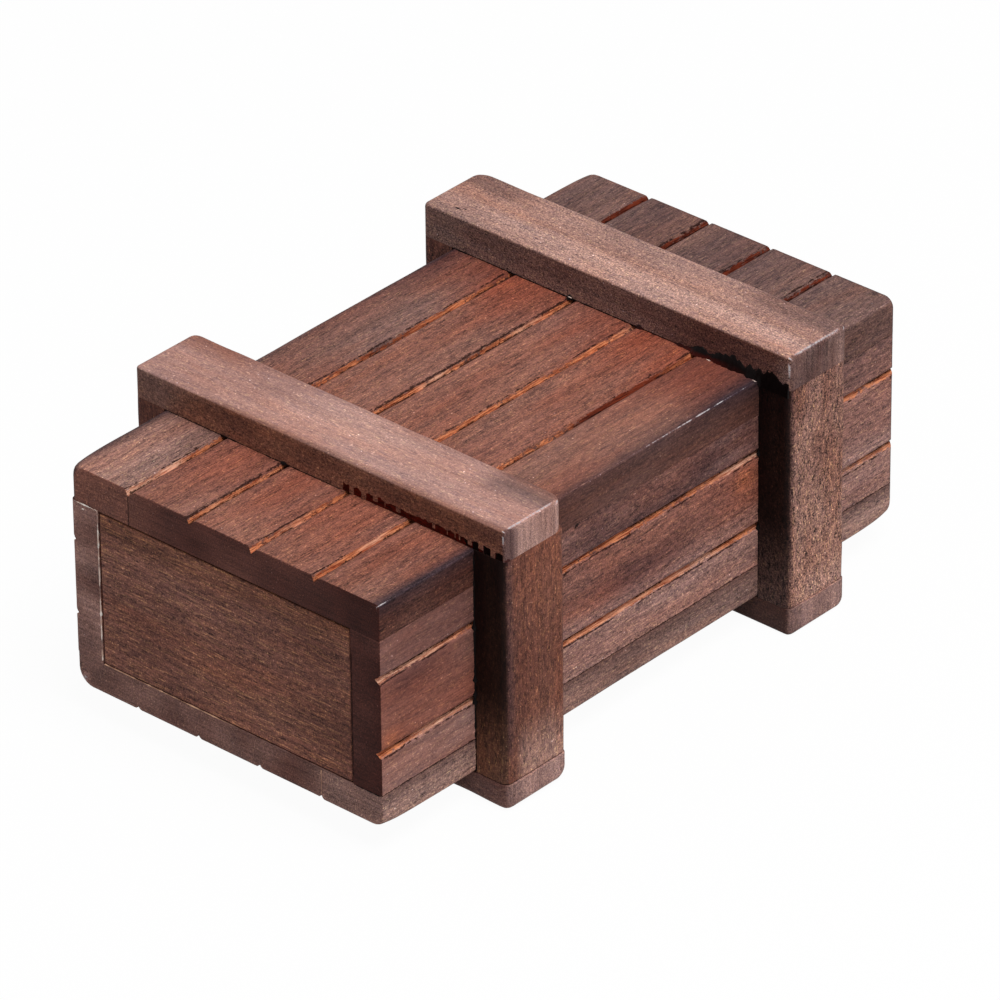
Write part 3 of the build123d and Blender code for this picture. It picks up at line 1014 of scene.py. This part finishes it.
band_reach = node_box("near_top_batten")[1].y
batten_tops = [node_box(node)[1].z for node in ("near_top_batten", "far_top_batten")]
batten_places = stations(-band_reach, band_reach)
teeth_start, teeth_pace, teeth_steps = -36.4, 0.11, 295
teeth_places = [teeth_start + teeth_pace * number for number in range(teeth_steps)]
teeth_places = sorted({*batten_places, *teeth_places})
bar(
    "near_top_bar", "near_top_batten", "box", "stained_batten", teeth_places, crosswise,
    near_top_paint,
    stained_wood("stained_near_batten_wood", 1, 2, (3, 11, 19), (0.5, 0.5, 1.4, 2.2), 0.6, 0.15),
    across=near_band, thickness=(board_high.z, batten_tops[0]), edges=(0.38, 1.0),
    plan_corners=(0.4, 2.6, 1.2, 1.9), rims=(0.5, 1.0), seed=200, tooth=1.4, bite=toothed,
    tip_shine=3.4,
)
bar(
    "far_top_bar", "far_top_batten", "box", "stained_batten", batten_places, crosswise,
    far_top_paint,
    stained_wood("stained_far_batten_wood", 1, 2, (23, 5, 41), (0.6, 0.6, 0.8, 2.9), 0.7, 0.15),
    across=far_band, thickness=(board_high.z, batten_tops[1]), edges=(0.55, 0.9),
    plan_corners=(0.8, 1.3, 1.2, 3.0), rims=(0.9, 1.1), seed=230, tip_shine=3.4,
)


# Side battens of the two bands: upright bars with the same section, glued to the side boards. Stain
# has run down between them and the box, and painted shade fills the corner beside the box, so the
# faces towards the near end are almost black above.
bar_brown = rgba(128, 81, 68)


def side_batten_paint(x, y, z):
    """Tones of the side battens: paler at the foot, smoky along the edge towards the near end."""
    across = over_band(x)
    wander = drift(91, 9, x * 2.5, y, z / 2) + 0.5 * drift(94, 2.5, x * 2, y, z / 2)
    # Walls towards the near end: nearly black, which is dark stain and painted shade in the corner
    # beside the side board, paler towards the foot.
    light = 0.03 + 0.62 * step(z, 21, 6) + 0.12 * drift(92, 3, y, z / 5)
    if x < 0:
        colour = coated(
            bar_brown, (umber, 0.10 + 0.4 * wander + 0.30 * near(across, 0.25, 0.13)),
            (umber, 0.30 * near(z, 25, 5)),
        )
        foot, reach, wall_colour = 16, 0.20, coated(nearly_black, (wall_brown, light * 0.8))
    else:
        colour = coated(bar_brown, (dusty_brown, 0.50 + 0.3 * wander - 0.2 * step(z, 18, 28)))
        foot, reach, wall_colour = 11, 0.09, coated(nearly_black, (grey_brown, light * 0.55))
    if y > 0:
        wall_colour = coated(umber, (brown, 0.2 + 0.3 * drift(93, 6, y, z)))
    wall = step(across, 0.06, 0.02) if across < 0.5 else 0.5 * step(across, 0.94, 0.98)
    colour = coated(
        colour, (dusty_brown, 0.65 * step(z, foot, 6.5) * step(across, 0.12, 0.3)),
        (smoky_brown, 0.75 * step(across, reach, 0.06) * step(z, 5, 14)), (wall_colour, wall),
    )
    return colour, *unpooled


upright_places = stations(board_low.z, board_high.z)
smooth_wood, rough_wood = (
    stained_wood("stained_" + name + "_upright_wood", 2, 1, shift, figure, 1.0, 0.15)
    for name, shift, figure in (
        ("near", (13, 5, 29), (0.5, 0.6, 2.0, 1.4)), ("far", (41, 15, 9), (0.5, 0.7, 2.4, 3.4)),
    )
)
for name, band, facing, seed, upright_wood in (
    ("near_left", near_band, 1, 260, smooth_wood), ("near_right", near_band, -1, 290, smooth_wood),
    ("far_left", far_band, 1, 320, rough_wood), ("far_right", far_band, -1, 350, rough_wood),
):
    bar(
        name + "_bar", name + "_batten", "box", "stained_batten", upright_places,
        lambda u, across, out: (across, facing * out, u), side_batten_paint, upright_wood,
        across=band, thickness=(board_high.y, band_reach), edges=(1.25, 1.35),
        plan_corners=(0.05,) * 4, rims=(0.12, 0.12), seed=seed,
    )


# Bottom battens, which the box stands on. The far one is glued on. The near one slides: it has a
# dovetail tongue along its top, with a bore for the lock peg.
way_clearance = 0.15
tongue_neck, tongue_wide, tongue_height, tongue_length = 3.2, 4.2, 3.0, 51.8
bore_radius, peg_y = 2.02, 2.5
bottom_reach = node_box("far_bottom_batten")[1].y


def bottom_batten_paint(x, y, z):
    """Tones of the bottom battens: grey brown, with paler saw-cut ends."""
    across = over_band(x)
    wall_colour = coated(
        umber, (grey_brown, 0.5 + 0.4 * drift(102, 8, y, z * 2)),
        (nearly_black, 0.55 if x > 0 else 0.0),
    )
    end_colour = coated(
        grey_brown, (dusty_pink, (1.0 if x < 0 else 0.75) + 0.3 * drift(103, 3, x, z / 3)),
        (smoky_brown, 0.35 * near(across, 0.55, 0.12) + 0.5 * step(across, 0.3, 0.1)),
    )
    colour = coated(
        brown, (grey_brown, 0.5 + 0.4 * drift(101, 14, x * 2, y, z)),
        (wall_colour, on_walls(across, 0.10, 0.02)),
        (end_colour, on_sawn_ends(y, bottom_reach, 0.9)),
    )
    return colour, *unpooled


def tongue_joint(piece):
    """Joins the dovetail tongue to the sliding batten and bores it for the peg."""
    low, high, end = board_low.z, board_low.z + tongue_height, tongue_length / 2
    outline = [
        (-tongue_neck, low - way_clearance - 0.5), (tongue_neck, low - way_clearance - 0.5),
        (tongue_neck, low), (tongue_wide, high), (-tongue_wide, high), (-tongue_neck, low),
    ]
    outline = [(way_middle + x, z) for x, z in outline]
    joined(piece, prism("tongue", outline, -end, end, crosswise), "UNION")
    outline = round_outline(bore_radius, (way_middle, peg_y), 48)
    joined(piece, prism("bore", outline, -1, clear_above, upright), "DIFFERENCE")


foot_places = stations(-bottom_reach, bottom_reach)
foot_figure = (0.5, 0.7, 0.9, 1.8)
foot_wood = stained_wood("stained_bottom_batten_wood", 1, 2, (37, 2, 13), foot_figure, 0.6, 0.2)
for name, node, body, carve, band, top, edges, rims, seed in (
    ("far_bottom_bar", "far_bottom_batten", "box", None, far_band,
     board_low.z, (0.8, 1.3), (1.0, 1.3), 380),
    ("sliding_bottom_bar", "sliding_lock_batten", "lock", tongue_joint, near_band,
     board_low.z - way_clearance, (1.5, 1.7), (1.8, 1.5), 410),
):
    bar(
        name, node, body, "stained_batten", foot_places, lambda u, across, out: (across, u, -out),
        bottom_batten_paint, foot_wood, carve, across=band, thickness=(-top, 0), edges=edges,
        plan_corners=(1.3, 1.5, 1.4, 1.4), rims=rims, seed=seed,
    )


# Glue that was squeezed out of the joints and never wiped off: almost black where stain soaked into
# it, pale where it dried clean. It stands in the corners beside the battens and on the near end. A
# few small pale drops are painted highlights: glints on the dark glue.
glue_bump_strength, glue_bump_depth = 0.5, 0.1
glue_step = 0.25


def fillet(spread, climb, under=-0.12):
    """A section of glue in a corner: over the surface, then up the wall beside it."""
    spread, climb = max(0.03, spread), max(0.03, climb)
    return [
        (-0.15, under, {}), (spread, under, {}), (0.85 * spread, 0.15 * climb, {}),
        (0.45 * spread + 0.03, 0.5 * climb, {}), (0.16 * spread + 0.05, 0.9 * climb, {}),
        (0.03, climb, {}), (-0.15, climb, {}),
    ]


def ridge(spread, climb):
    """A section of glue over a joint in a flat face."""
    shoulder = 0.4 * climb
    rise = ((-1, -0.1), (1, -0.1), (0.8, shoulder), (0.3, climb), (-0.3, climb), (-0.8, shoulder))
    return [(spread * share, out, {}) for share, out in rise]


def dried_glue(name, roughness, gloss):
    """Dried glue: its painted tone, a little cloudy, under a lumpy skin."""
    material, shader, bare = new_material(name)
    lumps = bare.node("ShaderNodeTexCoord", out="Object").stretched(1.8, 1.8, 0).speckle(3.0, 0.6)
    bare.mark("tone", 0).scaled(0.5 + lumps).feeds(shader, "Base Color")
    (lumps * 0.3 + roughness).feeds(shader, "Roughness")
    shader.inputs["Specular IOR Level"].default_value = gloss
    lumps.bumps(shader, glue_bump_strength, glue_bump_depth)
    return material


def tar_paint(x, y, z):
    """Nearly black, deep red where it is thin."""
    foot = board_high.z
    thin = near(y, -21, 6) * step(z, foot + 0.6, foot + 0.2) * step(z, foot - 0.6, foot - 0.2)
    red = (0.35 * drift(601, 3.5, x, y) + 0.8 * thin) * step(y, -31.5, -30)
    return coated(rgba(10, 4, 4), (rgba(74, 17, 10), red)), *unpooled


def tan_paint(x, y, z):
    """Glue that has taken a little stain, more under the right half of the panel."""
    darker = step(y, 3, -3) * step(z, bottom_inner - 0.4, bottom_inner - 0.2)
    paler = 0.5 + 1.2 * drift(607, 1.2, x, y, z)
    coats = ((rgba(226, 176, 144), paler), (rgba(112, 76, 68), darker))
    return coated(rgba(150, 108, 88), *coats), *unpooled


def white_glue_and_glint_paint(x, y, z):
    """White of dried glue, stained in places. Small drops of it are painted highlights."""
    white = 0.5 + 1.2 * drift(602, 1.2, x, y, z)
    return coated(rgba(214, 176, 156), (rgba(250, 240, 232), white)), *unpooled


tar = (tar_paint, dried_glue("dark_glue", 0.3, 0.06))
white_glue_and_glint = (white_glue_and_glint_paint, dried_glue("pale_glue", 0.35, 0.4))
tan = (tan_paint, white_glue_and_glint[1])


def run_of_glue(name, start, end, section_at, place, kind):
    """A run of glue of one kind, which is its paint and its material."""
    paint, material = kind
    count = round(abs(end - start) / glue_step)
    places = [start + (end - start) * number / count for number in range(count + 1)]
    run = solid(name, [(u, section_at(u)) for u in places], place, paint)
    dress(run, "box", material, "stained_board")


def far_squeeze(y):
    """A thin dark line that swells into a ragged patch towards the right."""
    ragged = 1 + 0.7 * drift(603, 3.5, y) + 0.5 * drift(604, 1.1, y) + 0.35 * drift(608, 0.5, y)
    drops = 0.5 * near(y, 6.9, 0.45) + 0.45 * near(y, -7.4, 0.5) + 0.3 * near(y, -15.6, 0.6)
    line = 0.10 + 0.08 * drift(605, 1.1, y)
    spread = 0.7 * ragged * step(y, -15, -20) * step(y, -32.2, -30.5) + 0.1 * step(y, -30, -32)
    heights = 1.0 * step(y, -15, -21) + 0.9 * near(y, -26.5, 4.0) + 0.7 * near(y, -35, 3.0)
    climb = min(4.5, line + ragged * heights + drops)
    return fillet(line + spread + drops, max(0.04, climb), -0.12 - 1.1 * step(y, -31.2, -31.8))


def near_squeeze(y):
    """A thin dark line with a drop at one groove."""
    line = 0.08 + 0.08 * drift(606, 1.0, y) + 0.25 * near(y, groove_tips[2], 0.5)
    return fillet(line, max(0.04, line))


def seam_squeeze(seed, strength, drop_levels):
    """Glue down the corner between a side board and a side batten, with drops at given levels."""
    def section_at(z):
        drops = sum(0.34 * near(z, level, 0.35) for level in drop_levels)
        line = 0.20 + 0.16 * drift(seed, 0.9, z) + 0.08 * drift(seed + 1, 4, z)
        return fillet(strength * line + drops, 0.8 * (strength * line + drops))
    return section_at


def patchy(seed, width, *drops):
    """A thin broken line of glue over a joint, with drops at the given places."""
    def section_at(u):
        line = width * step(drift(seed, 1.5, u) + 0.5 * drift(seed + 1, 0.5, u), -0.45, 0.1)
        line += sum(size * near(u, level, 0.3) for level, size in drops)
        return ridge(max(0.015, line), 0.02 + 0.5 * line)
    return section_at


def drop(middle, reach, size, least, climb, level=0.0):
    """A single small drop or mark, widest in its middle."""
    def section_at(u):
        share = near(u, middle, reach)
        return ridge(size * share + least, climb * share + level)
    return section_at


squeeze_end = 31.0
for name, band, start, squeeze in (
    ("far_batten_glue", far_band, -37.3, far_squeeze),
    ("near_batten_glue", near_band, -4.6, near_squeeze),
):
    run_of_glue(
        name, start, squeeze_end, squeeze,
        lambda u, across, out: (band[0] - across, u, board_high.z + out), tar,
    )
for name, band, facing, seed, strength, levels in (
    ("near_right", near_band, -1, 611, 1.0, (18.9, 21.4, 17.4, 30.6)),
    ("near_left", near_band, 1, 613, 0.5, (25.0,)),
    ("far_right", far_band, -1, 615, 0.5, (17.6, 30.8)),
    ("far_left", far_band, 1, 617, 0.6, (14.0,)),
):
    run_of_glue(
        name + "_seam_glue", board_low.z + 0.3, board_high.z - 0.9,
        seam_squeeze(seed, strength, levels),
        lambda u, across, out: (band[0] - across, facing * (board_high.y + out), u), tar,
    )
# Painted highlights: small pale drops standing for glints on the dark glue.
for name, y, gap, level, size in (
    ("far_glint", -21.9, 0.75, 0.10, 0.11), ("far_groove_glint", 6.6, 0.35, 0.42, 0.12),
    ("far_edge_glint", -31.2, 0.9, 0.02, 0.08),
):
    run_of_glue(
        name, y - 0.4, y + 0.4, drop(y, 0.2, size, 0.01, 0.6 * size),
        lambda u, across, out: (far_band[0] - gap - across, u, board_high.z + level + out), white_glue_and_glint,
    )
for name, middle, length, size, x, down in (
    ("far_knot", 32.0, 0.9, 0.26, 28.9, 0.05), ("far_small_knot", 30.9, 0.6, 0.16, 29.4, 0.05),
    ("far_nick", 32.8, 1.3, 0.10, 38.8, 0.1),
):
    run_of_glue(
        name, middle - length, middle + length, drop(middle, 0.45 * length, size, 0.005, 0.0, 0.02),
        lambda u, across, out: (x + across, u, batten_tops[1] - down + out), tar,
    )
run_of_glue(
    "side_nick", 37.6, 39.6, drop(38.6, 0.45, 0.12, 0.005, 0.0, 0.02),
    lambda u, across, out: (50.1 + across, board_low.y + 0.02 - out, u), tar,
)


def down_near_end(y):
    """Places for a run of glue that goes down the near end at y."""
    return lambda u, across, out: (board_low.x - out, y + across, u)


def across_near_end(z):
    """Places for a run of glue that goes across the near end at z."""
    return lambda u, across, out: (board_low.x - out, u, z + across)


for name, start, end, section_at, place, kind in (
    ("panel_gap_glue", top_inner, bottom_inner + 0.6, patchy(621, 0.13, (19.4, 0.16), (22.1, 0.08)),
     down_near_end(side_inner + 0.12), white_glue_and_glint),
    ("top_left_joint_glue", side_inner, board_high.y - 0.8, patchy(623, 0.11, (28.6, 0.06)),
     across_near_end(top_inner - 0.05), white_glue_and_glint),
    ("glue_drop", 28.5, 29.1, drop(28.8, 0.2, 0.16, 0.05, 0.1, -0.02), across_near_end(37.0), white_glue_and_glint),
    ("bottom_joint_glue", board_low.z + 0.95, bottom_inner - 0.3, patchy(625, 0.10),
     down_near_end(bottom_joint), tan),
    ("panel_foot_glue", side_inner - 0.3, -side_inner + 0.5, patchy(633, 0.10),
     across_near_end(bottom_inner + 0.02), tan),
    ("right_corner_glue", -side_inner - 0.2, board_low.y + 0.3, patchy(629, 0.15),
     across_near_end(bottom_inner - 0.02), tar),
    ("right_gap_glue", top_inner - 4.0, bottom_inner + 1.5, patchy(631, 0.09),
     down_near_end(-side_inner - 0.10), tar),
    ("top_joint_glue", top_inner, board_high.z - 1.1, patchy(627, 0.08),
     down_near_end(top_joint), tar),
):
    run_of_glue(name, start, end, section_at, place, kind)


# Lock peg: a bought dowel of pale wood, glued into the sliding batten from below. Its CAD node
# stays, and only gets its finish.
dowel_colour, dowel_figure = rgba(176, 138, 104), (0.5, 0.6, 0.3, 0.6)
dowel_wood = stained_wood("pale_dowel_wood", 2, 0, (0, 0, 0), dowel_figure, 0.3, 0.2, dowel_colour)
finish_piece(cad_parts["lock_peg"], dowel_wood)


# Tray: two end panels of rougher brown wood with their grain across the box, and a floor and two
# thin sides glued between them. The near panel is the inset panel of the photographed end. The
# floor's CAD node stays, and only gets its finish.

def panel_paint(x, y, z):
    """Tones of the panels: darker to the left, redder along the top, umber behind."""
    shade = 0.5 - 0.5 * step(y, -26, 26) + 0.7 * drift(111, 9, y / 2.5, z * 1.3)
    shade += 0.4 * drift(112, 2.5, y / 4, z) + 0.2 * near(z, 21, 1.6)
    redder = 0.55 * step(z, 33.5, 36.5) + 0.35 * near(z, 17.5, 2.5) * near(y, -8, 16)
    inside = step(abs(x), board_high.x - 0.8, board_high.x - 1.6)
    coats = ((rgba(98, 62, 55), shade), (rgba(116, 72, 54), redder), (umber, 0.3 * inside))
    return coated(rgba(132, 88, 78), *coats), *unpooled


panel_low, panel_high = node_box("tray_near_end")
panel_places = stations(-panel_high.y, panel_high.y, 0.6)
panel_figure, panel_dash = (0.9, 1.6, 1.3, 1.7), (0.26, 0.58)
panel_wood = stained_wood(
    "stained_panel_wood", 1, 2, (19, 31, 3), panel_figure, 1.2, 0.4, dash=panel_dash
)
for name, facing, seed in (("tray_near_end", -1, 440), ("tray_far_end", 1, 470)):
    bar(
        name + "_panel", name, "tray", "tray_wood", panel_places,
        lambda u, across, out: (facing * out, u, across), panel_paint, panel_wood,
        across=(panel_low.z, panel_high.z), thickness=(-panel_high.x, board_high.x),
        edges=(0.35, 0.3), plan_corners=(0.12,) * 4, rims=(0.3, 0.3), seed=seed,
    )


def tray_side_paint(x, y, z):
    """Tones of the tray's sides: brown, with darker clouds."""
    darker = 0.5 + 0.8 * drift(121, 12, x / 2, y, z)
    return coated(rgba(140, 98, 82), (rgba(116, 78, 64), darker)), *unpooled


side_low, side_high = node_box("tray_left_side")
tray_side_places = stations(side_low.x, side_high.x, 0.8)
tray_figure = (0.8, 1.0, 0.7, 1.4)
tray_side_wood = stained_wood("stained_tray_side_wood", 0, 1, (5, 3, 41), tray_figure, 0.6, 0.35)
for name, facing, seed in (("tray_left_side", 1, 500), ("tray_right_side", -1, 530)):
    bar(
        name + "_bar", name, "tray", "tray_wood", tray_side_places,
        lambda u, across, out: (u, facing * across, out), tray_side_paint, tray_side_wood,
        across=(side_low.y, side_high.y), thickness=(side_low.z, side_high.z), edges=(0.4, 0.35),
        plan_corners=(0.05,) * 4, rims=(0.05, 0.05), seed=seed,
    )

floor_colour, floor_figure = rgba(126, 86, 70), (0.9, 1.0, 0.7, 1.4)
tray_floor_wood = stained_wood(
    "stained_tray_floor_wood", 0, 1, (11, 29, 17), floor_figure, 0.6, 0.4, floor_colour
)
finish_piece(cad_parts["tray_floor"], tray_floor_wood)


# Floor and light: a pale sheet, one large soft lamp above the right side, and even light around.
# Where the camera sees the sheet or the world, also through a reflection, they are white.
sheet_half = 3.0
sheet_roughness, sheet_grey, sheet_pale = 0.9, (0.6, 0.6, 0.6, 1), (0.95, 0.95, 0.95, 1)
sheet_glow = 0.96
world_light = 0.3
lamp_size, lamp_power, lamp_distance = 0.8, 14.4, 1.4
lamp_direction = Vector((-0.08, -0.38, 0.92)).normalized()


def seen(start):
    """1 for rays from the camera, a reflection or a clear piece."""
    rays = [
        start.node("ShaderNodeLightPath", out=ray)
        for ray in ("Is Camera Ray", "Is Glossy Ray", "Is Transmission Ray")
    ]
    return start.math("MAXIMUM", start.math("MAXIMUM", rays[0], rays[1]), rays[2])


floor_mesh = bpy.data.meshes.new("floor")
corners = [(x * sheet_half, y * sheet_half, 0) for x, y in ((-1, -1), (1, -1), (1, 1), (-1, 1))]
floor_mesh.from_pydata(corners, [], [(0, 1, 2, 3)])
floor = linked("floor", floor_mesh)
floor_material, floor_shader, floor_start = new_material("pale_floor")
floor_shader.inputs["Roughness"].default_value = sheet_roughness
floor_seen = seen(floor_start)
floor_seen.colours(sheet_grey, sheet_pale).feeds(floor_shader, "Base Color")
floor_start.node("ShaderNodeMixShader", None, {
    0: floor_seen * sheet_glow, 1: Field(floor_start.tree, floor_shader.outputs[0]),
    2: floor_start.node("ShaderNodeEmission", None, {"Strength": 1.0}),
}).feeds(floor_start.tree.nodes["Material Output"], "Surface")
finish_piece(floor, floor_material)

world = bpy.data.worlds.new("studio")
bpy.context.scene.world = world
world.use_nodes = True
background = world.node_tree.nodes["Background"]
(world_light + seen(Field(world.node_tree)) * (1 - world_light)).feeds(background, "Strength")
background.inputs["Color"].default_value = (1, 1, 1, 1)

lamp_data = bpy.data.lights.new("softbox", "AREA")
lamp_data.shape = "DISK"
lamp_data.size = lamp_size
lamp_data.energy = lamp_power
lamp = linked("softbox", lamp_data)
lamp.location = lamp_direction * lamp_distance
lamp.rotation_euler = lamp_direction.to_track_quat("Z", "Y").to_euler()
